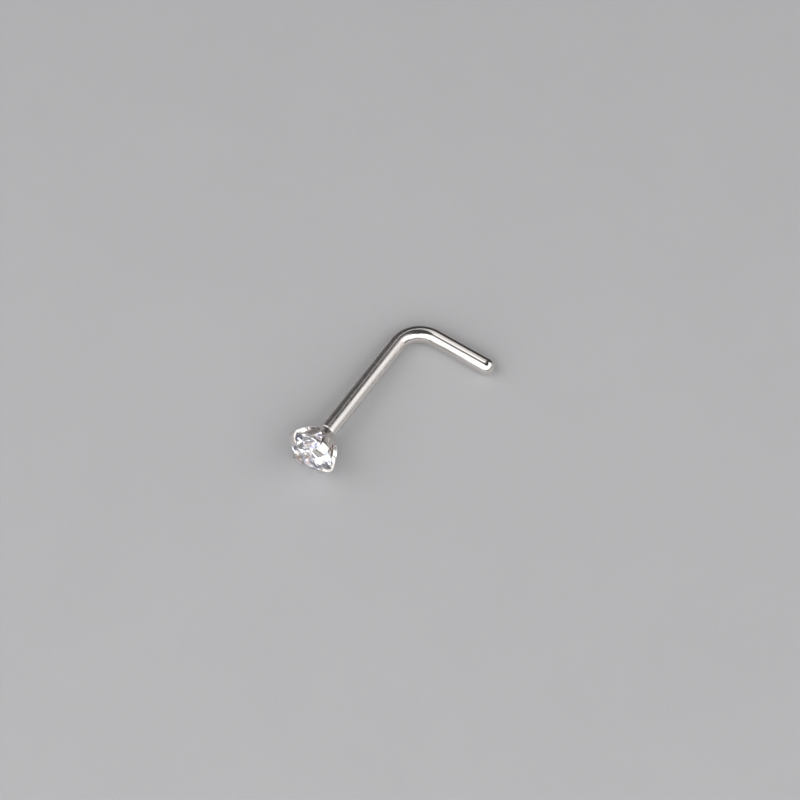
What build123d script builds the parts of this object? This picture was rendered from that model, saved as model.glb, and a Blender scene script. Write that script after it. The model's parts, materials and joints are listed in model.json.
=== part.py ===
"""L-shaped nose stud: a bent steel wire with a four-claw setting soldered to it, and a round brilliant stone.

The stud lies as it comes to rest on a flat surface. The foot lies along +X, the post runs from the bend
towards -Y, and the head stands on its lowest claw. The origin is under the middle of the whole stud.
"""

from build123d import *
from math import asin, atan, atan2, cos, degrees, hypot, radians, sin, tan
import os

# Wire, in millimetres and degrees
wire_diameter = 0.8
bend_radius = 1.25  # of the wire's centre line
foot_length = 4.3  # from the corner of the centre lines to the end of the tip
head_reach = 8.2  # from the same corner to the middle of the stone's girdle

# Stone: a round brilliant
stone_diameter = 2.2
table_ratio = 0.64  # table corner to corner, as a share of the diameter
girdle_thickness = 0.06
crown_angle = 34.5
pavilion_angle = 41.0
star_share = 0.5  # how far the stars reach from the table's edge to the girdle
lower_half_share = 0.77  # how far the lower halves reach from the girdle to the culet
fold = 8  # main facets round the stone

# Setting: heights are from the middle of the girdle, and positive towards the table
fit_gap = 0.02  # between the stone and the metal
claw_count = 4
claw_width = 0.45
first_claw = 56.0  # seen from the front of the stone, from +X towards the top
claw_crest = 1.25  # radius and height of the claws' widest place
claw_crest_height = -0.12
claw_shoulder = 0.98  # where the claw has turned over onto the crown
claw_shoulder_height = 0.33
claw_bow = (1.18, 0.14)  # a point of the claw's bowed back
claw_top_height = 0.41
claw_tip = 0.78
claw_lap = 0.87  # radius where the claw's underside turns flatter, over the stars
claw_lap_slope = 40.5
claw_tip_slope = 20.0
seat_radius = 0.94
cup_mouth = 0.94  # radius and height where the cone of the cup ends and the claws begin
cup_mouth_height = -0.68
cup_foot_height = -1.28  # where the cup meets the wire
cup_floor_height = -1.23
cup_wall = 0.2  # across the cone, square to the post
rim_height = -0.5
scallop_radius = 0.52
scallop_height = -0.3

wire_radius = wire_diameter / 2
stone_radius = stone_diameter / 2
half_girdle = girdle_thickness / 2
claw_pitch = 360 / claw_count
claw_angles = [first_claw + claw_pitch * turn for turn in range(claw_count)]

# How far the post rises from the bend to the head, with the foot and the lowest claw on the floor
claw_half_angle = degrees(asin(claw_width / 2 / claw_crest))
claw_corners = [angle + side * claw_half_angle for angle in claw_angles for side in (-1, 1)]
lowest_reach = -min(claw_crest * sin(radians(corner)) for corner in claw_corners)
lowest_distance = head_reach + claw_crest_height
lowest_slant = hypot(lowest_distance, lowest_reach)
post_rise = atan2(lowest_reach, lowest_distance) - asin(wire_radius / lowest_slant)

# Planes: the wire's own, the section through the head, and the girdle's
wire_plane = Plane(
    origin=(0, 0, wire_radius), x_dir=(1, 0, 0), z_dir=(0, sin(post_rise), cos(post_rise))
)
girdle_centre = wire_plane.from_local_coords(Vector(0, -head_reach, 0))
front = -wire_plane.y_dir
head_section = Plane(origin=girdle_centre, x_dir=(1, 0, 0), z_dir=-wire_plane.z_dir)
girdle_plane = Plane(origin=girdle_centre, x_dir=(1, 0, 0), z_dir=front)
head_axis = Axis(girdle_centre, front)


# Half the setting's section, as (radius, height): the cup's cone, the claw's back, and the inside
groove = stone_radius + fit_gap
groove_height = half_girdle + fit_gap
seat_height = -groove_height - (groove - seat_radius) * tan(radians(pavilion_angle))
tip_end = claw_tip - fit_gap
lap_height = groove_height + (groove - claw_lap) * tan(radians(claw_lap_slope))
tip_height = lap_height + (claw_lap - tip_end) * tan(radians(claw_tip_slope))
floor_radius = cup_mouth - cup_wall - (cup_mouth_height - cup_floor_height)
cone = [(wire_radius, cup_foot_height), (cup_mouth, cup_mouth_height), (claw_crest, claw_crest_height)]
inside = [
    (claw_shoulder, claw_shoulder_height),
    (tip_end, claw_top_height),
    (tip_end, tip_height),
    (claw_lap, lap_height),
    (groove, groove_height),
    (groove, -groove_height),
    (seat_radius, seat_height),
    (cup_mouth - cup_wall, cup_mouth_height),
    (floor_radius, cup_floor_height),
    (0, cup_floor_height),
]

# Metal: wire, domed tip, cup and claws, soldered into one piece
with BuildPart() as metal:
    with BuildLine(wire_plane) as centre_line:
        FilletPolyline(
            (0, -head_reach - cup_foot_height),
            (0, 0),
            (foot_length - wire_radius, 0),
            radius=bend_radius,
        )
    with BuildSketch(Plane(origin=centre_line.line @ 0, z_dir=centre_line.line % 0)):
        Circle(wire_radius)
    sweep(path=centre_line.line)
    with Locations(centre_line.line @ 1):
        Sphere(wire_radius)
    with BuildSketch(head_section):
        with BuildLine():
            Polyline((0, cup_foot_height), *cone)
            ThreePointArc(cone[-1], claw_bow, inside[0])
            Polyline(*inside, (0, cup_foot_height))
        make_face()
    revolve(axis=head_axis)
    # Only the claws stand above the cup's rim
    claw_inset = claw_tip + claw_width / 2
    claw_run = claw_crest + claw_width - claw_inset
    with BuildSketch(girdle_plane.offset(rim_height)):
        Circle(claw_crest + claw_width)
        with PolarLocations(claw_inset + claw_run / 2, claw_count, start_angle=first_claw):
            SlotCenterToCenter(claw_run, claw_width, mode=Mode.SUBTRACT)
    extrude(amount=claw_top_height - rim_height + claw_width, mode=Mode.SUBTRACT)
    # The rim dips between the claws
    for angle in claw_angles:
        across = radians(angle + claw_pitch / 2)
        outward = girdle_plane.x_dir * cos(across) + girdle_plane.y_dir * sin(across)
        with BuildSketch(Plane(origin=girdle_centre + front * scallop_height, z_dir=outward)):
            Circle(scallop_radius)
        extrude(amount=claw_crest + claw_width, mode=Mode.SUBTRACT)

# Stone: a blank turned to the stone's size, and its facets cut one tier at a time
crown_height = (stone_radius - table_ratio * stone_radius) * tan(radians(crown_angle))
pavilion_depth = stone_radius * tan(radians(pavilion_angle))
half_pitch = 180 / fold
quarter_pitch = half_pitch / 2
table_edge = table_ratio * stone_radius * cos(radians(half_pitch))
star_tip = table_edge + star_share * (stone_radius - table_edge)
star_tip_height = (stone_radius - star_tip * cos(radians(half_pitch))) * tan(radians(crown_angle))
star_angle = degrees(atan((crown_height - star_tip_height) / (star_tip - table_edge)))
upper_run = (stone_radius - star_tip) * cos(radians(quarter_pitch))
upper_half_angle = degrees(atan(star_tip_height / upper_run))
lower_tip = (1 - lower_half_share) * stone_radius
lower_tip_depth = (stone_radius - lower_tip * cos(radians(half_pitch))) * tan(radians(pavilion_angle))
lower_run = (stone_radius - lower_tip) * cos(radians(quarter_pitch))
lower_half_angle = degrees(atan(lower_tip_depth / lower_run))
girdle_chord = stone_radius * cos(radians(quarter_pitch))

# tier: facets round the stone, place of the first, slope from the girdle, radius and height of a point on it
facet_tiers = {
    "crown mains": (fold, 0, crown_angle, stone_radius, half_girdle),
    "stars": (fold, half_pitch, star_angle, table_edge, half_girdle + crown_height),
    "upper halves": (2 * fold, quarter_pitch, upper_half_angle, girdle_chord, half_girdle),
    "pavilion mains": (fold, 0, -pavilion_angle, stone_radius, -half_girdle),
    "lower halves": (2 * fold, quarter_pitch, -lower_half_angle, girdle_chord, -half_girdle),
}

with BuildPart() as brilliant:
    with BuildSketch(girdle_plane.offset(-half_girdle - pavilion_depth)):
        Circle(stone_radius)
    extrude(amount=pavilion_depth + girdle_thickness + crown_height)
    for count, first, slope, radius, height in facet_tiers.values():
        steep = radians(slope)
        for turn in range(count):
            around = radians(first + 360 / count * turn)
            out = girdle_plane.x_dir * cos(around) + girdle_plane.y_dir * sin(around)
            normal = (out * sin(abs(steep))) + front * (cos(steep) if slope > 0 else -cos(steep))
            point = girdle_centre + out * radius + front * height
            split(bisect_by=Plane(origin=point, z_dir=normal), keep=Keep.BOTTOM)

# The origin goes under the middle of the whole stud
whole = Compound(children=[metal.part, brilliant.part]).bounding_box()
to_base = Location((-whole.center().X, -whole.center().Y, -whole.min.Z))

with BuildPart() as wire_and_setting:
    with Locations(to_base):
        add(metal.part)
wire_and_setting.part.label = "wire_and_setting"

with BuildPart() as stone:
    with Locations(to_base):
        add(brilliant.part)
stone.part.label = "stone"

os.makedirs("parts", exist_ok=True)
export_step(wire_and_setting.part, "parts/wire_and_setting.step")
export_step(stone.part, "parts/stone.step")

print(f"post rises {degrees(post_rise):.2f} degrees, base height {whole.min.Z:.4f}")
print("whole", whole.size, "moved by", to_base.position)
print("metal solids", len(wire_and_setting.part.solids()), "stone faces", len(stone.part.faces()))
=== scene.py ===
"""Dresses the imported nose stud: a bent, drawn steel wire, its four-claw setting and a round brilliant stone.

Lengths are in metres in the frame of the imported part: the foot runs along +X, and the post runs from the
bend towards -Y and a little upwards, to the head.
"""

import json
from math import cos, pi, radians, sin, tan

import bpy
import numpy as np
from bpy.props import FloatProperty, FloatVectorProperty, IntProperty, PointerProperty
from bpy.types import Operator, Panel, PropertyGroup
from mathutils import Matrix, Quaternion, Vector


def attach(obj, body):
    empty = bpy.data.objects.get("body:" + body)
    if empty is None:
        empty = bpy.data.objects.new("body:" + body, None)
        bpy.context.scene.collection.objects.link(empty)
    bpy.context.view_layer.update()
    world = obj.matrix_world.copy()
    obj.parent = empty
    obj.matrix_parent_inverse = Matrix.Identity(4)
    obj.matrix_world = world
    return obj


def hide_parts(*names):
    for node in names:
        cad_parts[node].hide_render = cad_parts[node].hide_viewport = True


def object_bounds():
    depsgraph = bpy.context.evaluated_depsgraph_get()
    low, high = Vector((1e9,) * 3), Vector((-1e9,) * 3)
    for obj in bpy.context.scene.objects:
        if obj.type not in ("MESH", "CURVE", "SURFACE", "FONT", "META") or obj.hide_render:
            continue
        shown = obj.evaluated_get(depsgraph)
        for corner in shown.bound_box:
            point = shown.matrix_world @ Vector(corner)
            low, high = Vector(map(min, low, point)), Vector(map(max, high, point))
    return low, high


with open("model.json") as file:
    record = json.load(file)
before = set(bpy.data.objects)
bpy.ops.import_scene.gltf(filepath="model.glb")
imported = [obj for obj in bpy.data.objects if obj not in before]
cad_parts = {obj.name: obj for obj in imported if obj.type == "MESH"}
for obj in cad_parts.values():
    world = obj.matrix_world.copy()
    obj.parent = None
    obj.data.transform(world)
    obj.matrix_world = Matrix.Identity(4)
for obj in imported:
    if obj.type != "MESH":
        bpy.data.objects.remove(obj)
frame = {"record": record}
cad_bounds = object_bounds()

bl_info = {
    "name": "Nose stud",
    "version": (1, 0, 0),
    "blender": (4, 5, 0),
    "location": "3D View > Sidebar > Nose stud",
    "description": "Makes the wire, the claw setting and the stone of an L-shaped nose stud",
    "category": "Add Mesh",
}

MM = 0.001
MICRON = 0.001 * MM
ALONG_WIRE = "along_wire"  # the wire's attribute: a point's place if the wire were pulled straight


def length(name, description, default):
    """A length property in metres."""
    return FloatProperty(
        name=name, description=description, default=default, subtype="DISTANCE", unit="LENGTH", precision=6
    )


def angle(name, description, default):
    """An angle property, with its default given in degrees."""
    return FloatProperty(name=name, description=description, default=radians(default), subtype="ANGLE")


def colour(name, description, default):
    """A colour property without alpha."""
    return FloatVectorProperty(
        name=name, description=description, default=default, subtype="COLOR", size=3, min=0, max=1
    )


# ---------------------------------------------------------------- sizes and finishes


class WireSizes(PropertyGroup):
    """The bent wire."""

    diameter: length("Diameter", "Thickness of the wire", 0.8 * MM)
    bend_radius: length("Bend radius", "Radius of the centre line at the bend", 1.25 * MM)
    foot_length: length("Foot length", "From the corner of the centre lines to the tip's end", 4.3 * MM)
    head_reach: length("Head reach", "From the same corner to the middle of the stone's girdle", 8.2 * MM)
    joint_height: length("Joint height", "Where the wire ends inside the cup, from the girdle", -1.25 * MM)


class SettingSizes(PropertyGroup):
    """The cup and its claws. Heights are from the middle of the girdle, positive towards the table."""

    claw_count: IntProperty(name="Claws", description="Number of claws", default=4, min=3, max=6)
    first_claw: angle("First claw", "Seen from the front, from +X towards the top", 56.0)
    claw_width: length("Claw width", "Width of a claw", 0.45 * MM)
    rim_height: length("Rim height", "Height of the cup's rim beside the claws", -0.5 * MM)
    scallop_radius: length("Scallop radius", "Radius of the dips between the claws", 0.52 * MM)
    scallop_height: length("Scallop height", "Height of the middle of a dip's circle", -0.3 * MM)


class StoneSizes(PropertyGroup):
    """The round brilliant."""

    diameter: length("Diameter", "Diameter at the girdle", 2.2 * MM)
    girdle: length("Girdle", "Thickness of the girdle at its corners", 0.06 * MM)
    table_ratio: FloatProperty(
        name="Table", description="Table corner to corner, as a share of the diameter", default=0.64
    )
    crown_angle: angle("Crown angle", "Slope of the crown's main facets", 34.5)
    pavilion_angle: angle("Pavilion angle", "Slope of the pavilion's main facets", 41.0)
    star_share: FloatProperty(
        name="Stars", description="How far the stars reach from the table to the girdle", default=0.5
    )
    lower_share: FloatProperty(
        name="Lower halves", description="How far the lower halves reach from girdle to culet", default=0.77
    )


class Finishes(PropertyGroup):
    """Colours and polish."""

    steel: colour("Steel", "Colour of the polished steel", (0.84, 0.80, 0.77))
    wire_roughness: FloatProperty(
        name="Wire polish", description="Roughness of the wire's post", default=0.22
    )
    setting_roughness: FloatProperty(
        name="Setting polish", description="Roughness of the setting", default=0.09
    )
    stone: colour("Stone", "Colour of the clear stone", (1.0, 1.0, 1.0))
    # Painted light: the next three colours are painted grey reflections and painted blue and warm fire in the
    # stone's base colour.
    painted_grey_reflection: colour("Grey facets", "Colour of the stone's darker patches", (0.60, 0.58, 0.66))
    painted_blue_fire: colour("Blue fire", "Colour of the cool flashes", (0.62, 0.70, 1.0))
    painted_warm_fire: colour("Warm fire", "Colour of the warm flashes", (1.0, 0.55, 0.30))
    stone_index: FloatProperty(name="Stone index", description="Refractive index of the stone", default=2.15)


class StageSettings(PropertyGroup):
    """Floor, lights and camera."""

    floor: colour("Floor", "Colour of the pale floor", (0.50, 0.50, 0.51))
    floor_side: length("Floor side", "Side of the floor", 4.0)
    through_stone: colour("Through the stone", "Studio that the stone lets through", (0.97, 0.97, 1.0))
    lamp_density: FloatProperty(
        name="Lamp density", description="How finely the studio in the stone breaks up", default=4.0
    )
    azimuth: angle("Azimuth", "Turn of the camera, from looking along +Y", 32.8)
    elevation: angle("Elevation", "Height of the camera above the horizon", 60.8)
    view_width: length("View width", "Width of the picture at the stud", 35.2 * MM)
    aim_right: length("Aim right", "Sideways step of the camera's aim from the stud's middle", 0.363 * MM)
    aim_up: length("Aim up", "Upward step of the camera's aim from the stud's middle", 0.052 * MM)
    lens: FloatProperty(name="Lens", description="Focal length in millimetres", default=200.0)


# ---------------------------------------------------------------- the stud's own directions


class StudFrame:
    """Where the stud's parts are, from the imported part's box and the direction of its post."""

    def __init__(self, wire):
        post = next(m for m in frame["record"]["mounts"] if m["name"] == "post_in_piercing")
        highest = np.array(cad_bounds[1])
        radius = wire.diameter / 2
        self.foot = np.array((1.0, 0.0, 0.0))
        self.post = np.array(post["axis"]) / np.linalg.norm(post["axis"])
        self.up = np.cross(self.foot, self.post)
        self.front = -self.post
        self.corner = np.array((highest[0] - wire.foot_length, highest[1] - radius, radius))
        self.girdle = self.corner - self.post * wire.head_reach

    def head_points(self, radius, turn, height):
        """Points of the head: the girdle's middle, plus the radius turned from the foot's direction
        towards the top, plus the height along the front."""
        radius, turn, height = np.broadcast_arrays(radius, turn, height)
        across = (radius * np.cos(turn))[..., None] * self.foot
        upward = (radius * np.sin(turn))[..., None] * self.up
        return self.girdle + across + upward + height[..., None] * self.front


# ---------------------------------------------------------------- meshes


def new_piece(name, points, faces, smooth=True):
    """A mesh object with its place in its mesh."""
    mesh = bpy.data.meshes.new(name)
    mesh.from_pydata(points.tolist(), [], faces)
    mesh.polygons.foreach_set("use_smooth", np.full(len(mesh.polygons), smooth))
    mesh.update()
    piece = bpy.data.objects.new(name, mesh)
    bpy.context.scene.collection.objects.link(piece)
    return piece


def strip_faces(lower, upper, closed=True):
    """Quads between two rows of vertex numbers. They face the side from which the upper row lies to the left
    of the lower row's direction."""
    if closed:
        next_lower, next_upper = np.roll(lower, -1), np.roll(upper, -1)
    else:
        lower, next_lower = lower[:-1], lower[1:]
        upper, next_upper = upper[:-1], upper[1:]
    return np.stack([lower, next_lower, next_upper, upper], axis=-1).tolist()


def fan_faces(row, pole):
    """Triangles from a closed row of vertex numbers to a pole."""
    return np.stack([row, np.roll(row, -1), np.full_like(row, pole)], axis=-1).tolist()


WIRE_RINGS = {"post": 60, "bend": 72, "foot": 30, "dome": 23}  # rings on each stretch of the wire
WIRE_SIDES = 128


def wire_surface(wire, place):
    """Rings carried along the wire's centre line.

    The heading turns from the post's direction to the foot's over the bend, in proportion to the distance.
    A ring's points are the centre, plus the radius times the cosine of the turn towards the outside of the
    bend, plus the radius times the sine of the turn along the normal of the wire's plane. Past the foot's
    cylinder, the radius falls as a quarter circle, to the pole of the domed tip.
    """
    radius, bend = wire.diameter / 2, wire.bend_radius
    post_end = wire.head_reach + wire.joint_height - bend
    bend_end = post_end + bend * pi / 2
    foot_end = bend_end + wire.foot_length - bend - radius
    swing = np.linspace(0, pi / 2, WIRE_RINGS["dome"] + 2)[1:-1]
    distance = np.concatenate([
        np.linspace(0, post_end, WIRE_RINGS["post"], endpoint=False),
        np.linspace(post_end, bend_end, WIRE_RINGS["bend"], endpoint=False),
        np.linspace(bend_end, foot_end, WIRE_RINGS["foot"]),
        foot_end + radius * np.sin(swing),
    ])
    ring_radius = np.concatenate([np.full(distance.size - swing.size, radius), radius * np.cos(swing)])
    heading = np.clip((distance - post_end) / bend, 0, pi / 2)
    start = place.corner - place.post * (post_end + bend)
    post_run = np.minimum(distance, post_end) + bend * np.sin(heading)
    foot_run = np.maximum(distance - bend_end, 0) + bend * (1 - np.cos(heading))
    centre = start + post_run[:, None] * place.post + foot_run[:, None] * place.foot
    outside = np.sin(heading)[:, None] * place.post - np.cos(heading)[:, None] * place.foot
    turn = np.linspace(0, 2 * pi, WIRE_SIDES, endpoint=False)
    rings = (
        centre[:, None, :]
        + (ring_radius[:, None] * np.cos(turn))[..., None] * outside[:, None, :]
        + (ring_radius[:, None] * np.sin(turn))[..., None] * place.up
    )
    tip = centre[-1] + place.foot * (foot_end + radius - distance[-1])
    points = np.concatenate([rings.reshape(-1, 3), [centre[0], tip]])
    numbers = np.arange(rings.shape[0] * turn.size).reshape(rings.shape[:2])
    faces = fan_faces(numbers[0][::-1], numbers.size) + fan_faces(numbers[-1], numbers.size + 1)
    for lower, upper in zip(numbers[:-1], numbers[1:]):
        faces += strip_faces(lower, upper)
    straight = np.stack(np.broadcast_arrays(
        ring_radius[:, None] * np.cos(turn), ring_radius[:, None] * np.sin(turn), distance[:, None]
    ), axis=-1).reshape(-1, 3)
    straight = np.concatenate([straight, [(0, 0, 0), (0, 0, foot_end + radius)]])
    return points, faces, straight


# The cup's wall, as radius and height from the girdle in millimetres, and its rows' shares of the way up
OUTER_WALL = {"height": (-1.28, -0.68, -0.12), "radius": (0.40, 0.94, 1.25)}
INNER_WALL = {"height": (-1.23, -0.68, -0.206, -0.05), "radius": (0.19, 0.74, 0.94, 1.12)}
WALL_ROWS = (0.0, 0.12, 0.35, 0.62, 0.82, 0.94, 1.0)
# A claw from the rim to its tip, in millimetres from the girdle's middle, and its share of the full width
CLAW_STATIONS = {
    "outer radius": (1.13, 1.213, 1.246, 1.241, 1.21, 1.15, 1.06, 0.95, 0.86, 0.79, 0.757),
    "outer height": (-0.34, -0.19, -0.10, 0.0, 0.11, 0.205, 0.283, 0.345, 0.38, 0.395, 0.388),
    "inner radius": (0.885, 0.965, 1.07, 1.135, 1.135, 1.055, 0.975, 0.885, 0.825, 0.785, 0.757),
    "inner height": (-0.34, -0.20, -0.105, -0.045, 0.045, 0.12, 0.19, 0.262, 0.29, 0.303, 0.318),
    "width": (1.0, 1.0, 1.0, 1.0, 1.0, 1.0, 1.0, 1.0, 0.93, 0.72, 0.42),
}
CLAW_COLUMNS = (-1.0, -0.84, 0.0, 0.84, 1.0)  # places across a claw, as a share of half its width
EDGE_SHARE = 0.16  # how far in the rows beside the metal's edges lie, as a share of the wall's thickness
GAP_COLUMNS = (0.07, 0.2, 0.35, 0.5, 0.65, 0.8, 0.93)  # shares of the way from a claw to the next
POLE_LIFT = 0.03 * MM  # how far the outer sheet's pole, hidden in the wire, stands above the cup's foot
SMOOTH_LEVEL = 3  # of the setting's Subdivision Surface


def column_turns(sizes, radius):
    """The turn of every column of the cup at each radius, claw columns first and gap columns after them.

    A claw's columns stay a fixed distance from its middle, so their turn is the arcsine of that distance over
    the radius. The gap's columns divide what is left, from one claw's side to the next one's.
    """
    pitch = 2 * pi / sizes.claw_count
    middle = sizes.first_claw + pitch * np.arange(sizes.claw_count)
    offset = np.array(CLAW_COLUMNS) * sizes.claw_width / 2
    inside_claw = np.arcsin(np.clip(offset / radius[..., None], -1, 1))
    side = inside_claw[..., -1:]
    gap = side + np.array(GAP_COLUMNS) * (pitch - 2 * side)
    turns = np.concatenate([inside_claw, gap], axis=-1)
    return (middle[:, None] + turns[..., None, :]).reshape(*radius.shape, -1)


def rim_heights(sizes):
    """The height of the rim at every column: level at the claws, and the dip's circle between them.

    The circle's height is that of its middle, less the root of its radius squared less the square of the
    column's distance from the middle of the gap.
    """
    pitch = 2 * pi / sizes.claw_count
    radius = np.interp(sizes.rim_height / MM, OUTER_WALL["height"], OUTER_WALL["radius"]) * MM
    half_gap = radius * (pitch / 2) - sizes.claw_width / 2
    place = (2 * np.array(GAP_COLUMNS) - 1) * half_gap
    depth = np.sqrt(np.maximum(sizes.scallop_radius**2 - place**2, 0))
    gap = np.minimum(sizes.rim_height, sizes.scallop_height - depth)
    one = np.concatenate([np.full(len(CLAW_COLUMNS), sizes.rim_height), gap])
    return np.tile(one, sizes.claw_count)


def wall_points(sizes, place, wall, foot_height, rim):
    """Rows of the cup's wall. A row's height is its share of the way from the foot to the rim of its column,
    and its radius follows the wall's profile. Its columns are turned as its mean radius asks."""
    share = np.array(WALL_ROWS)[:, None]
    height = foot_height + (rim - foot_height) * share
    radius = np.interp(height / MM, wall["height"], wall["radius"]) * MM
    spread = radius.mean(axis=1)
    turn = column_turns(sizes, spread)
    return place.head_points(radius, turn, height)


def claw_points(sizes, place, side):
    """Rows of every claw's outer or inner face: stations from the rim to the tip, with the columns across.

    A column's turn from the claw's middle is the arcsine of its distance from there over the radius.
    """
    radius = np.array(CLAW_STATIONS[side + " radius"])[:, None, None] * MM
    height = np.array(CLAW_STATIONS[side + " height"])[:, None, None] * MM
    width = np.array(CLAW_STATIONS["width"])[:, None, None] * sizes.claw_width / 2
    offset = width * np.array(CLAW_COLUMNS)
    middle = sizes.first_claw + 2 * pi / sizes.claw_count * np.arange(sizes.claw_count)[:, None]
    turn = middle + np.arcsin(offset / radius)
    return place.head_points(radius, turn, height)


def sheet_edge(wall, claws):
    """The vertex numbers along a sheet's free edge, in order round the cup: up one side of a claw, across its
    tip, down the other side, and along the rim to the next claw."""
    across = len(CLAW_COLUMNS)
    one = across + len(GAP_COLUMNS)
    edge = []
    for claw in range(claws.shape[1]):
        rim = wall[-1, claw * one:(claw + 1) * one]
        edge += [rim[0], *claws[:-1, claw, 0], *claws[-1, claw], *claws[-2::-1, claw, -1], *rim[across - 1:]]
    return np.array(edge)


def setting_cage(sizes, place):
    """The control cage of the cup and claws, which Subdivision Surface turns into the smooth metal.

    An outer and an inner sheet hold the same columns, and each is closed by a pole at the bottom. Between
    their free edges run two more rows, near the outer and the inner side, which keep the metal's edge flat.
    """
    rim = rim_heights(sizes)
    outer_foot, inner_foot = OUTER_WALL["height"][0] * MM, INNER_WALL["height"][0] * MM
    sheets = [
        wall_points(sizes, place, OUTER_WALL, outer_foot, rim),
        wall_points(sizes, place, INNER_WALL, inner_foot, rim),
        claw_points(sizes, place, "outer"),
        claw_points(sizes, place, "inner"),
    ]
    numbers, count = [], 0
    for sheet in sheets:
        size = sheet[..., 0].size
        numbers.append(np.arange(count, count + size).reshape(sheet.shape[:-1]))
        count += size
    outer, inner, claw_outer, claw_inner = numbers
    points = np.concatenate([sheet.reshape(-1, 3) for sheet in sheets])
    outer_edge, inner_edge = sheet_edge(outer, claw_outer), sheet_edge(inner, claw_inner)
    between = [
        points[outer_edge] * (1 - share) + points[inner_edge] * share
        for share in (EDGE_SHARE, 1 - EDGE_SHARE)
    ]
    loops = [outer_edge, *(count + np.arange(2 * outer_edge.size).reshape(2, -1)), inner_edge]
    count += 2 * outer_edge.size
    poles = place.head_points(0.0, 0.0, np.array((outer_foot + POLE_LIFT, inner_foot)))
    points = np.concatenate([points, *between, poles])
    faces = fan_faces(outer[0][::-1], count) + fan_faces(inner[0], count + 1)
    for lower, upper in zip(outer[:-1], outer[1:]):
        faces += strip_faces(lower, upper)
    for lower, upper in zip(inner[:-1], inner[1:]):
        faces += strip_faces(upper, lower)
    one = len(CLAW_COLUMNS) + len(GAP_COLUMNS)
    for claw in range(sizes.claw_count):
        base = slice(claw * one, claw * one + len(CLAW_COLUMNS))
        outside = [outer[-1, base], *claw_outer[:, claw]]
        inside = [inner[-1, base], *claw_inner[:, claw]]
        for row in range(len(outside) - 1):
            faces += strip_faces(outside[row], outside[row + 1], closed=False)
            faces += strip_faces(inside[row + 1], inside[row], closed=False)
    for lower, upper in zip(loops[:-1], loops[1:]):
        faces += strip_faces(lower, upper)
    return points, faces


FOLD = 8  # main facets round the stone
GIRDLE_STEPS = 6  # straight pieces of the girdle's edge for each half facet
ROUNDING = 1e-9  # keeps a turn at a facet's corner from falling into the facet before it


def brilliant_surface(sizes, place):
    """The facets of a round brilliant, as polygons between rings of points round the head's axis.

    Main facets meet the girdle at every eighth of a turn, and stars and half facets lie between them. Past
    the girdle, a ring's height is its distance inside the girdle's edge, along the run of a main facet, times
    the tangent of the main facets' slope. A half facet cuts the girdle's cylinder in a curve, which dips by
    the arc's bulge over its chord times the tangent of the half facet's own slope.
    """
    radius, half_girdle = sizes.diameter / 2, sizes.girdle / 2
    eighth, sixteenth = 2 * pi / FOLD, pi / FOLD
    crown, pavilion = tan(sizes.crown_angle), tan(sizes.pavilion_angle)
    table = sizes.table_ratio * radius
    table_edge = table * cos(sixteenth)
    star = table_edge + sizes.star_share * (radius - table_edge)
    star_height = half_girdle + (radius - star * cos(sixteenth)) * crown
    lower = (1 - sizes.lower_share) * radius
    lower_height = -half_girdle - (radius - lower * cos(sixteenth)) * pavilion
    upper_slope = (star_height - half_girdle) / ((radius - star) * cos(sixteenth / 2))
    lower_slope = (-half_girdle - lower_height) / ((radius - lower) * cos(sixteenth / 2))
    step = sixteenth / GIRDLE_STEPS
    girdle_turn = np.arange(2 * FOLD * GIRDLE_STEPS) * step
    bulge = radius * (np.cos((girdle_turn + ROUNDING) % sixteenth - sixteenth / 2) - cos(sixteenth / 2))
    main = np.arange(FOLD) * eighth
    between = main + sixteenth
    rings = [
        place.head_points(table, main, half_girdle + (radius - table) * crown),
        place.head_points(star, between, star_height),
        place.head_points(radius, girdle_turn, half_girdle - bulge * upper_slope),
        place.head_points(radius, girdle_turn, -half_girdle + bulge * lower_slope),
        place.head_points(lower, between, lower_height),
        place.head_points(0.0, np.zeros(1), -half_girdle - radius * pavilion),
    ]
    ends = np.cumsum([len(ring) for ring in rings])
    tables, stars, tops, bottoms, lowers, culet = (
        list(range(end - len(ring), end)) for end, ring in zip(ends, rings)
    )
    around = len(tops)
    faces = [tables]
    for one in range(FOLD):
        following = (one + 1) % FOLD
        corner = 2 * one * GIRDLE_STEPS
        faces.append([tables[one], stars[one], tables[following]])
        faces.append([tables[one], stars[one - 1], tops[corner], stars[one]])
        faces.append([culet[0], lowers[one], bottoms[corner], lowers[one - 1]])
        for first in (corner, corner + GIRDLE_STEPS):
            edge = [(first + number) % around for number in range(GIRDLE_STEPS + 1)]
            faces.append([stars[one]] + [tops[number] for number in edge])
            faces.append([lowers[one]] + [bottoms[number] for number in reversed(edge)])
    faces += strip_faces(np.array(bottoms), np.array(tops))
    return np.concatenate(rings), faces


def outward_volume(points, faces):
    """The volume inside a closed surface, by tetrahedra to the origin: negative if faces point inwards."""
    total = 0.0
    for face in faces:
        first = points[face[0]]
        for second, third in zip(face[1:-1], face[2:]):
            total += float(np.dot(first, np.cross(points[second], points[third]))) / 6
    return total


# ---------------------------------------------------------------- materials

# A Mix node's sockets when it mixes colours. Its other kinds have sockets of the same names.
MIX_FACTOR, MIX_FIRST, MIX_SECOND, MIX_RESULT = 0, 6, 7, 2


def add_node(tree, kind, label="", **values):
    """A node with its properties and its sockets' values set by name. An underscore stands for each space in
    a socket's name."""
    node = tree.nodes.new(kind)
    node.label = label
    for name, value in values.items():
        if hasattr(node, name):
            setattr(node, name, value)
        else:
            node.inputs[name.replace("_", " ")].default_value = value
    return node


def arrange(tree):
    """Sets the nodes out in columns by how far they are from the output."""
    depth = {}
    ends = [node for node in tree.nodes if not any(output.is_linked for output in node.outputs)]
    current, column = ends, 0
    while current:
        for node in current:
            depth[node.name] = column
        current = [link.from_node for node in current for socket in node.inputs for link in socket.links]
        column += 1
    rows = {}
    for node in tree.nodes:
        place = depth.get(node.name, 0)
        rows[place] = rows.get(place, 0) + 1
        node.location = (-260 * place, -240 * rows[place])


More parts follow.
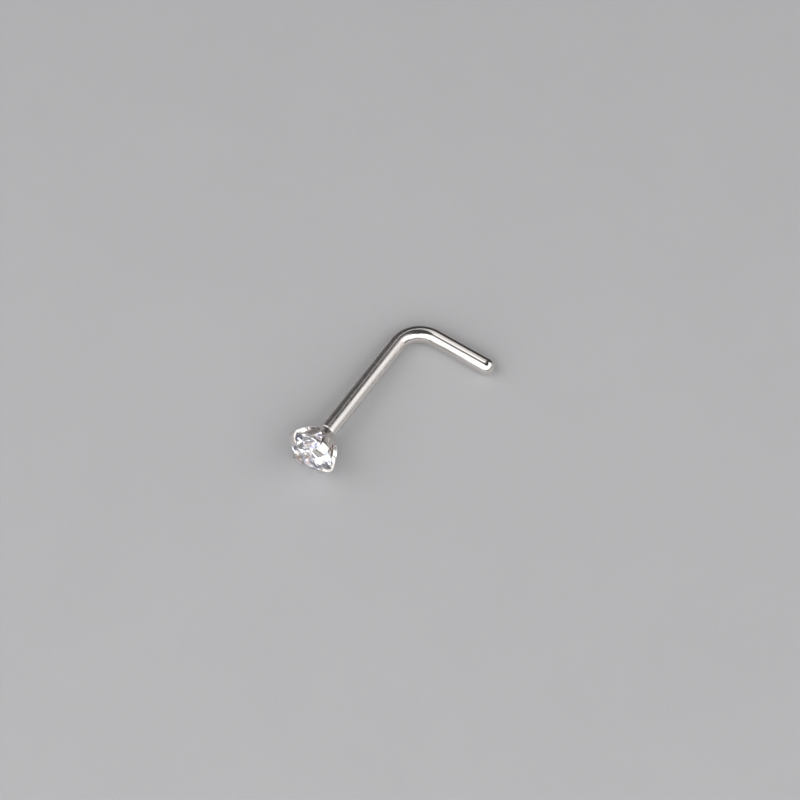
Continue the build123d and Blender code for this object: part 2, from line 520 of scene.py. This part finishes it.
def new_group(name, inputs, outputs):
    """A shader node group. Its inputs and outputs are each given as (name, socket kind, default or None)."""
    tree = bpy.data.node_groups.new(name, "ShaderNodeTree")
    for side, sockets in (("INPUT", inputs), ("OUTPUT", outputs)):
        for socket_name, kind, default in sockets:
            socket = tree.interface.new_socket(socket_name, in_out=side, socket_type=kind)
            if default is not None:
                socket.default_value = default
    return tree, tree.nodes.new("NodeGroupInput"), tree.nodes.new("NodeGroupOutput")


def drawing_lines():
    """The group of fine lines that a drawing die leaves: noise that is stretched along the third axis.

    Lines of two widths are added. Width is the finer one in metres, and Stretch is how many times longer
    than wide the lines are.
    """
    name = "drawing_lines"
    if name in bpy.data.node_groups:
        return bpy.data.node_groups[name]
    tree, enter, leave = new_group(
        name,
        [
            ("Vector", "NodeSocketVector", None),
            ("Width", "NodeSocketFloat", 20 * MICRON),
            ("Stretch", "NodeSocketFloat", 60.0),
        ],
        [("Lines", "NodeSocketFloat", None), ("Height", "NodeSocketFloat", None)],
    )
    across = add_node(tree, "ShaderNodeMath", "lines per metre", operation="DIVIDE")
    across.inputs[0].default_value = 1.0
    along = add_node(tree, "ShaderNodeMath", "lengths per metre", operation="DIVIDE")
    scale = add_node(tree, "ShaderNodeCombineXYZ", "scale")
    stretched = add_node(tree, "ShaderNodeVectorMath", "straight lines", operation="MULTIPLY")
    fine = add_node(tree, "ShaderNodeTexNoise", "fine lines", Scale=1.0, Detail=3.0, Roughness=0.6)
    broad = add_node(tree, "ShaderNodeTexNoise", "broad lines", Scale=0.28, Detail=1.0, Roughness=0.5)
    both = add_node(tree, "ShaderNodeMath", "both", operation="ADD")
    lines = add_node(tree, "ShaderNodeMapRange", "contrast", From_Min=0.75, From_Max=1.25)
    link = tree.links.new
    link(enter.outputs["Width"], across.inputs[1])
    link(across.outputs[0], along.inputs[0])
    link(enter.outputs["Stretch"], along.inputs[1])
    link(across.outputs[0], scale.inputs["X"])
    link(across.outputs[0], scale.inputs["Y"])
    link(along.outputs[0], scale.inputs["Z"])
    link(enter.outputs["Vector"], stretched.inputs[0])
    link(scale.outputs[0], stretched.inputs[1])
    for noise in (fine, broad):
        link(stretched.outputs[0], noise.inputs["Vector"])
    link(fine.outputs["Fac"], both.inputs[0])
    link(broad.outputs["Fac"], both.inputs[1])
    link(both.outputs[0], lines.inputs["Value"])
    link(lines.outputs[0], leave.inputs["Lines"])
    link(both.outputs[0], leave.inputs["Height"])
    arrange(tree)
    return tree


def handling_marks():
    """The group of soft smudges and small waves that handling and hand polishing leave, from the piece's own
    coordinates. Size is their width in metres."""
    name = "handling_marks"
    if name in bpy.data.node_groups:
        return bpy.data.node_groups[name]
    tree, enter, leave = new_group(
        name,
        [("Vector", "NodeSocketVector", None), ("Size", "NodeSocketFloat", 0.3 * MM)],
        [("Marks", "NodeSocketFloat", None), ("Waves", "NodeSocketFloat", None)],
    )
    scale = add_node(tree, "ShaderNodeMath", "marks per metre", operation="DIVIDE")
    scale.inputs[0].default_value = 1.0
    marks = add_node(tree, "ShaderNodeTexNoise", "smudges", Detail=5.0, Roughness=0.65, Distortion=0.4)
    waves = add_node(tree, "ShaderNodeTexNoise", "waves", Detail=1.0, Roughness=0.4)
    spread = add_node(tree, "ShaderNodeMapRange", "contrast", From_Min=0.35, From_Max=0.7)
    link = tree.links.new
    link(enter.outputs["Size"], scale.inputs[1])
    for noise in (marks, waves):
        link(enter.outputs["Vector"], noise.inputs["Vector"])
        link(scale.outputs[0], noise.inputs["Scale"])
    link(marks.outputs["Fac"], spread.inputs["Value"])
    link(spread.outputs[0], leave.inputs["Marks"])
    link(waves.outputs["Fac"], leave.inputs["Waves"])
    arrange(tree)
    return tree


def new_material(name):
    """A material with only a Principled BSDF, and its node tree and shader."""
    material = bpy.data.materials.new(name)
    material.use_nodes = True
    tree = material.node_tree
    tree.nodes.clear()
    shader = add_node(tree, "ShaderNodeBsdfPrincipled", name)
    output = tree.nodes.new("ShaderNodeOutputMaterial")
    tree.links.new(shader.outputs["BSDF"], output.inputs["Surface"])
    return material, tree, shader


# The lines' width, how many times longer than wide they are, their depth, and the depth of polishing waves
DRAWN_GRAIN = {"grain": (45 * MICRON, 70.0), "line_depth": 0.5 * MICRON, "wave_depth": 0.5 * MICRON}
POLISHED_GRAIN = {"grain": (30 * MICRON, 1.0), "line_depth": 0.05 * MICRON, "wave_depth": 2.0 * MICRON}
SMUDGE_SHARE = 0.4  # strength of the smudges, as a share of the lines'
POLISH_RANGE = (0.6, 2.0)  # roughness where the steel is least and most worn, as shares of its own roughness
WORN_TONE = 0.82  # brightness of the steel in the lines, as a share of the rest's
POLISHED_SHARE = 0.35  # strength of the lines and the dullness on the bend and foot, as a share of the post's
POLISH_RUN = 1.2 * MM  # length of wire over which the post's finish turns into the bend's


def steel_material(name, finish, roughness, grain, line_depth, wave_depth, drawn_from=None):
    """Polished steel: fine lines and smudges vary its roughness, tone and bump.

    Grain is the lines' width and how many times longer than wide they are. With drawn_from, the lines follow
    the wire, and they are stronger and duller on the post, before that distance along it.
    """
    material, tree, shader = new_material(name)
    shader.inputs["Metallic"].default_value = 1.0
    link = tree.links.new
    width, stretch = grain
    lines = add_node(
        tree, "ShaderNodeGroup", "lines", node_tree=drawing_lines(), Width=width, Stretch=stretch
    )
    marks = add_node(tree, "ShaderNodeGroup", "handling marks", node_tree=handling_marks())
    worn = add_node(tree, "ShaderNodeMath", "lines and smudges", operation="MULTIPLY_ADD")
    worn.inputs[1].default_value = SMUDGE_SHARE
    polish = add_node(
        tree, "ShaderNodeMapRange", "polish", From_Max=1 + SMUDGE_SHARE,
        To_Min=roughness * POLISH_RANGE[0], To_Max=roughness * POLISH_RANGE[1],
    )
    fine = add_node(tree, "ShaderNodeBump", "line relief", Distance=line_depth, Strength=1.0)
    wavy = add_node(tree, "ShaderNodeBump", "polishing waves", Distance=wave_depth, Strength=1.0)
    if drawn_from is None:
        vector = add_node(tree, "ShaderNodeTexCoord", "own place").outputs["Object"]
        link(polish.outputs[0], shader.inputs["Roughness"])
        link(lines.outputs["Height"], fine.inputs["Height"])
    else:
        vector = add_node(tree, "ShaderNodeAttribute", "along the wire", attribute_name=ALONG_WIRE)
        vector = vector.outputs["Vector"]
        split = add_node(tree, "ShaderNodeSeparateXYZ", "place on the wire")
        post = add_node(
            tree, "ShaderNodeMapRange", "on the post", From_Min=drawn_from,
            From_Max=drawn_from + POLISH_RUN, To_Min=1.0, To_Max=POLISHED_SHARE,
        )
        rough = add_node(tree, "ShaderNodeMath", "duller post", operation="MULTIPLY")
        deep = add_node(tree, "ShaderNodeMath", "deeper lines", operation="MULTIPLY")
        link(vector, split.inputs[0])
        link(split.outputs["Z"], post.inputs["Value"])
        for factor, value, target in (
            (rough, polish.outputs[0], shader.inputs["Roughness"]),
            (deep, lines.outputs["Height"], fine.inputs["Height"]),
        ):
            link(value, factor.inputs[0])
            link(post.outputs[0], factor.inputs[1])
            link(factor.outputs[0], target)
    link(vector, lines.inputs["Vector"])
    link(vector, marks.inputs["Vector"])
    link(marks.outputs["Marks"], worn.inputs[0])
    link(lines.outputs["Lines"], worn.inputs[2])
    link(worn.outputs[0], polish.inputs["Value"])
    dull = [part * WORN_TONE for part in finish.steel]
    tone = add_node(tree, "ShaderNodeMix", "tone", data_type="RGBA")
    tone.inputs[MIX_FIRST].default_value = (*finish.steel, 1)
    tone.inputs[MIX_SECOND].default_value = (*dull, 1)
    link(lines.outputs["Lines"], tone.inputs[MIX_FACTOR])
    link(tone.outputs[MIX_RESULT], shader.inputs["Base Color"])
    link(marks.outputs["Waves"], wavy.inputs["Height"])
    link(fine.outputs["Normal"], wavy.inputs["Normal"])
    link(wavy.outputs["Normal"], shader.inputs["Normal"])
    arrange(tree)
    return material


# Which patches of painted reflection and painted fire take a tone: the channel of their random colour, and the
# value above which they take it. A later tone goes over an earlier one.
SPARKLE_TONES = (("Grey", "Red", 0.76), ("Cool", "Green", 0.88), ("Warm", "Blue", 0.955))
SPARKLE_SIZE = 0.17 * MM
CLEARNESS = 0.92  # share of the light that the stone lets in, where the rest scatters at its surface
DUST_ROUGHNESS = 0.015  # of the stone where it is least clean


def cut_sparkle():
    """The group of painted reflections and painted fire: small flat patches of white, grey, cool and warm
    colour in cells of random tone, which stand in for the light that a cut stone breaks its surroundings into.
    Size is their width in metres."""
    name = "cut_sparkle"
    if name in bpy.data.node_groups:
        return bpy.data.node_groups[name]
    tree, enter, leave = new_group(
        name,
        [
            ("Vector", "NodeSocketVector", None),
            ("Size", "NodeSocketFloat", 0.3 * MM),
            ("White", "NodeSocketColor", (1, 1, 1, 1)),
            ("Grey", "NodeSocketColor", (0.5, 0.5, 0.55, 1)),
            ("Cool", "NodeSocketColor", (0.3, 0.4, 1, 1)),
            ("Warm", "NodeSocketColor", (1, 0.4, 0.1, 1)),
        ],
        [("Color", "NodeSocketColor", None)],
    )
    scale = add_node(tree, "ShaderNodeMath", "patches per metre", operation="DIVIDE")
    scale.inputs[0].default_value = 1.0
    cells = add_node(tree, "ShaderNodeTexVoronoi", "patches", Randomness=1.0)
    pick = add_node(tree, "ShaderNodeSeparateColor", "random tone")
    link = tree.links.new
    link(enter.outputs["Size"], scale.inputs[1])
    link(enter.outputs["Vector"], cells.inputs["Vector"])
    link(scale.outputs[0], cells.inputs["Scale"])
    link(cells.outputs["Color"], pick.inputs["Color"])
    colour_socket = enter.outputs["White"]
    for tint, channel, above in SPARKLE_TONES:
        chosen = add_node(tree, "ShaderNodeMath", f"is {tint.lower()}", operation="GREATER_THAN")
        chosen.inputs[1].default_value = above
        mix = add_node(tree, "ShaderNodeMix", tint, data_type="RGBA")
        link(pick.outputs[channel], chosen.inputs[0])
        link(chosen.outputs[0], mix.inputs[MIX_FACTOR])
        link(colour_socket, mix.inputs[MIX_FIRST])
        link(enter.outputs[tint], mix.inputs[MIX_SECOND])
        colour_socket = mix.outputs[MIX_RESULT]
    link(colour_socket, leave.inputs["Color"])
    arrange(tree)
    return tree


def stone_material(finish):
    """Clear, bright stone: a high index, with small patches of painted grey reflection and of painted coloured
    fire in its base colour.
    """
    material, tree, shader = new_material("clear_stone")
    for name, value in (("IOR", finish.stone_index), ("Transmission Weight", CLEARNESS), ("Metallic", 0.0)):
        shader.inputs[name].default_value = value
    link = tree.links.new
    place = add_node(tree, "ShaderNodeTexCoord", "own place")
    marks = add_node(tree, "ShaderNodeGroup", "dust", node_tree=handling_marks())
    # The sparkle paints reflections and fire into the stone's base colour.
    sparkle = add_node(
        tree, "ShaderNodeGroup", "sparkle", node_tree=cut_sparkle(), Size=SPARKLE_SIZE,
        White=(*finish.stone, 1), Grey=(*finish.painted_grey_reflection, 1), Cool=(*finish.painted_blue_fire, 1),
        Warm=(*finish.painted_warm_fire, 1),
    )
    for group in (marks, sparkle):
        link(place.outputs["Object"], group.inputs["Vector"])
    link(sparkle.outputs["Color"], shader.inputs["Base Color"])
    polish = add_node(tree, "ShaderNodeMapRange", "polish", To_Min=0.0, To_Max=DUST_ROUGHNESS)
    link(marks.outputs["Marks"], polish.inputs["Value"])
    link(polish.outputs[0], shader.inputs["Roughness"])
    arrange(tree)
    return material


FLOOR_ROUGHNESS = 0.42
MOTTLE_SIZE = 6 * MM
MOTTLE_TONE = 0.98  # brightness of the floor's mottles, as a share of the rest's


def floor_material(stage):
    """Pale satin board, faintly mottled."""
    material, tree, shader = new_material("pale_floor")
    shader.inputs["Roughness"].default_value = FLOOR_ROUGHNESS
    place = add_node(tree, "ShaderNodeTexCoord", "own place")
    marks = add_node(tree, "ShaderNodeGroup", "mottle", node_tree=handling_marks(), Size=MOTTLE_SIZE)
    tone = add_node(tree, "ShaderNodeMix", "tone", data_type="RGBA")
    tone.inputs[MIX_FIRST].default_value = (*stage.floor, 1)
    tone.inputs[MIX_SECOND].default_value = (*[part * MOTTLE_TONE for part in stage.floor], 1)
    tree.links.new(place.outputs["Object"], marks.inputs["Vector"])
    tree.links.new(marks.outputs["Marks"], tone.inputs[MIX_FACTOR])
    tree.links.new(tone.outputs[MIX_RESULT], shader.inputs["Base Color"])
    arrange(tree)
    return material


# ---------------------------------------------------------------- operators


def check_outward(piece_name, points, faces):
    """Raises an error if the faces of a closed surface point inwards. It doesn't test that it is closed."""
    if outward_volume(points, faces) <= 0:
        raise RuntimeError(f"the faces of {piece_name} point inwards")


class NOSESTUD_OT_wire(Operator):
    """Make the bent wire with its domed tip"""

    bl_idname = "nosestud.wire"
    bl_label = "Make the wire"

    def execute(self, context):
        scene = context.scene
        wire, finish = scene.stud_wire, scene.stud_finishes
        points, faces, straight = wire_surface(wire, StudFrame(wire))
        check_outward("wire", points, faces)
        piece = new_piece("wire", points, faces)
        along = piece.data.attributes.new(ALONG_WIRE, "FLOAT_VECTOR", "POINT")
        along.data.foreach_set("vector", straight.ravel())
        piece.data.materials.append(
            steel_material(
                "drawn_steel", finish, finish.wire_roughness, **DRAWN_GRAIN,
                drawn_from=wire.head_reach + wire.joint_height - wire.bend_radius,
            )
        )
        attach(piece, "root")
        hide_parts("wire_and_setting")
        return {"FINISHED"}


class NOSESTUD_OT_setting(Operator):
    """Make the cup and its claws"""

    bl_idname = "nosestud.setting"
    bl_label = "Make the setting"

    def execute(self, context):
        scene = context.scene
        finish = scene.stud_finishes
        points, faces = setting_cage(scene.stud_setting, StudFrame(scene.stud_wire))
        check_outward("setting", points, faces)
        piece = new_piece("setting", points, faces)
        smooth = piece.modifiers.new("smooth", "SUBSURF")
        smooth.levels = smooth.render_levels = SMOOTH_LEVEL
        piece.data.materials.append(
            steel_material("polished_steel", finish, finish.setting_roughness, **POLISHED_GRAIN)
        )
        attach(piece, "root")
        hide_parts("wire_and_setting")
        return {"FINISHED"}


class NOSESTUD_OT_stone(Operator):
    """Make the round brilliant stone"""

    bl_idname = "nosestud.stone"
    bl_label = "Make the stone"

    def execute(self, context):
        scene = context.scene
        points, faces = brilliant_surface(scene.stud_stone, StudFrame(scene.stud_wire))
        check_outward("brilliant", points, faces)
        piece = new_piece("brilliant", points, faces, smooth=False)
        piece.data.materials.append(stone_material(scene.stud_finishes))
        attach(piece, "root")
        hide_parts("stone")
        return {"FINISHED"}


# Turn from -Y towards +X, elevation and roll in degrees, width and height in metres, and radiance
SOFTBOXES = {
    "front_softbox": (-17.0, 36.0, 0.0, 0.30, 0.38, 1.35),
    "left_softbox": (-70.0, 38.0, 0.0, 0.24, 0.30, 1.3),
    "front_right_softbox": (24.0, 36.0, 0.0, 0.16, 0.34, 1.25),
    "right_softbox": (60.0, 34.0, 0.0, 0.24, 0.28, 1.25),
    "back_right_softbox": (99.0, 36.0, 0.0, 0.20, 0.26, 1.25),
    "side_softbox": (133.0, 44.0, 0.0, 0.17, 0.14, 1.35),
    "low_side_softbox": (133.0, 17.0, 0.0, 0.17, 0.145, 0.7),
    "overhead_strip": (-130.4, 69.6, -51.6, 0.035, 0.155, 1.25),
    "back_strip": (-157.0, 47.4, -30.0, 0.03, 0.071, 0.9),
}
LAMP_DISTANCE = 0.30  # of every softbox from the stud's middle, in metres
DIM_STUDIO = (0.075, 0.074, 0.075)  # what lights the metal and the floor between the softboxes
PALE_WALL = (0.5, 0.5, 0.51)  # what the camera sees past the floor
# The studio that the stone lets through is made of cells with random values. A cell is a gap below the first
# of these values, a lamp above the second, and something between from the one to the other.
LAMP_EDGE = (0.20, 0.26)
LAMP_STRENGTH = (0.05, 3.4)  # of a gap and of a lamp
CLIP_RATIO = 100  # of the camera's distance to its near clip, and of its far clip to its distance


def direction(turn, elevation):
    """The direction that a turn from -Y towards +X and an elevation give."""
    return Vector((sin(turn) * cos(elevation), -cos(turn) * cos(elevation), sin(elevation)))


def face_towards(thing, target, roll=0.0):
    """Turns a light or a camera to look at the target, with its top up, and rolls it about its own axis."""
    thing.rotation_mode = "QUATERNION"
    upright = (target - thing.location).to_track_quat("-Z", "Y")
    thing.rotation_quaternion = upright @ Quaternion((0, 0, 1), roll)


def add_floor(stage):
    """A level square under the stud."""
    half = stage.floor_side / 2
    corners = np.array([(-half, -half, 0), (half, -half, 0), (half, half, 0), (-half, half, 0)])
    floor = new_piece("floor", corners, [[0, 1, 2, 3]], smooth=False)
    floor.data.materials.append(floor_material(stage))


def add_softboxes(scene, middle):
    """The soft lights round the stud, which the camera doesn't see. A light's power is its radiance times pi
    times its area."""
    for name, (turn, elevation, roll, width, height, radiance) in SOFTBOXES.items():
        light = bpy.data.lights.new(name, "AREA")
        light.shape, light.size, light.size_y = "RECTANGLE", width, height
        light.energy = radiance * pi * width * height
        lamp = bpy.data.objects.new(name, light)
        lamp.location = middle + direction(radians(turn), radians(elevation)) * LAMP_DISTANCE
        face_towards(lamp, middle, radians(roll))
        lamp.visible_camera = False
        scene.collection.objects.link(lamp)


def studio_world(stage):
    """A dim studio, which rays through the stone see as lamps and gaps, and the camera as a pale wall."""
    world = bpy.data.worlds.new("studio")
    world.use_nodes = True
    tree = world.node_tree
    tree.nodes.clear()
    heading = add_node(tree, "ShaderNodeTexCoord", "direction")
    lamps = add_node(tree, "ShaderNodeTexVoronoi", "lamps and gaps", Scale=stage.lamp_density)
    tone = add_node(tree, "ShaderNodeSeparateColor", "random tone")
    lit = add_node(
        tree, "ShaderNodeMapRange", "lamp or gap", interpolation_type="SMOOTHSTEP", From_Min=LAMP_EDGE[0],
        From_Max=LAMP_EDGE[1], To_Min=LAMP_STRENGTH[0], To_Max=LAMP_STRENGTH[1],
    )
    tree.links.new(heading.outputs["Generated"], lamps.inputs["Vector"])
    tree.links.new(lamps.outputs["Color"], tone.inputs["Color"])
    tree.links.new(tone.outputs["Red"], lit.inputs["Value"])
    path = add_node(tree, "ShaderNodeLightPath", "kind of ray")
    dim = add_node(tree, "ShaderNodeBackground", "dim studio", Color=(*DIM_STUDIO, 1))
    bright = add_node(tree, "ShaderNodeBackground", "lamps in the stone", Color=(*stage.through_stone, 1))
    pale = add_node(tree, "ShaderNodeBackground", "pale wall", Color=(*PALE_WALL, 1))
    tree.links.new(lit.outputs[0], bright.inputs["Strength"])
    surroundings = dim.outputs[0]
    for seen, ray in ((bright, "Is Transmission Ray"), (pale, "Is Camera Ray")):
        choose = add_node(tree, "ShaderNodeMixShader", ray)
        tree.links.new(path.outputs[ray], choose.inputs["Fac"])
        tree.links.new(surroundings, choose.inputs[1])
        tree.links.new(seen.outputs[0], choose.inputs[2])
        surroundings = choose.outputs[0]
    output = tree.nodes.new("ShaderNodeOutputWorld")
    tree.links.new(surroundings, output.inputs["Surface"])
    return world


def add_camera(scene, stage, middle):
    """The camera, as far back as its lens needs for the view's width at the stud."""
    camera = bpy.data.cameras.new("camera")
    camera.lens = stage.lens
    distance = stage.view_width * stage.lens / camera.sensor_width
    camera.clip_start, camera.clip_end = distance / CLIP_RATIO, distance * CLIP_RATIO
    viewer = bpy.data.objects.new("camera", camera)
    back = direction(stage.azimuth, stage.elevation)
    right = Vector((0, 0, 1)).cross(back).normalized()
    target = middle + right * stage.aim_right + back.cross(right) * stage.aim_up
    viewer.location = target + back * distance
    face_towards(viewer, target)
    scene.collection.objects.link(viewer)
    scene.camera = viewer


class NOSESTUD_OT_stage(Operator):
    """Make the floor, the soft lights and the camera"""

    bl_idname = "nosestud.stage"
    bl_label = "Make the stage"

    def execute(self, context):
        scene = context.scene
        middle = (Vector(cad_bounds[0]) + Vector(cad_bounds[1])) / 2
        add_floor(scene.stud_stage)
        add_softboxes(scene, middle)
        scene.world = studio_world(scene.stud_stage)
        add_camera(scene, scene.stud_stage, middle)
        scene.view_settings.view_transform = "Standard"
        return {"FINISHED"}


class NOSESTUD_PT_panel(Panel):
    """Lists the stud's sizes, finishes and operators"""

    bl_idname = "NOSESTUD_PT_panel"
    bl_label = "Nose stud"
    bl_space_type = "VIEW_3D"
    bl_region_type = "UI"
    bl_category = "Nose stud"

    def draw(self, context):
        for group_name, settings, operators in GROUPS:
            box = self.layout.box()
            box.label(text=group_name.replace("stud_", "").capitalize())
            group = getattr(context.scene, group_name)
            for name in settings.__annotations__:
                box.prop(group, name)
            for operator in operators:
                box.operator(operator.bl_idname)


GROUPS = (
    ("stud_wire", WireSizes, (NOSESTUD_OT_wire,)),
    ("stud_setting", SettingSizes, (NOSESTUD_OT_setting,)),
    ("stud_stone", StoneSizes, (NOSESTUD_OT_stone,)),
    ("stud_finishes", Finishes, ()),
    ("stud_stage", StageSettings, (NOSESTUD_OT_stage,)),
)
CLASSES = (
    *[settings for _, settings, _ in GROUPS],
    *[operator for _, _, operators in GROUPS for operator in operators],
    NOSESTUD_PT_panel,
)


def register():
    """Registers the classes and gives each scene the stud's settings."""
    for one in CLASSES:
        bpy.utils.register_class(one)
    for group_name, settings, _ in GROUPS:
        setattr(bpy.types.Scene, group_name, PointerProperty(type=settings))


def unregister():
    """Removes the settings and the classes."""
    for group_name, _, _ in GROUPS:
        delattr(bpy.types.Scene, group_name)
    for one in reversed(CLASSES):
        bpy.utils.unregister_class(one)


def main():
    """Makes every piece and the stage."""
    register()
    bpy.ops.nosestud.wire()
    bpy.ops.nosestud.setting()
    bpy.ops.nosestud.stone()
    bpy.ops.nosestud.stage()
    bpy.context.view_layer.update()


if __name__ == "__main__":
    main()
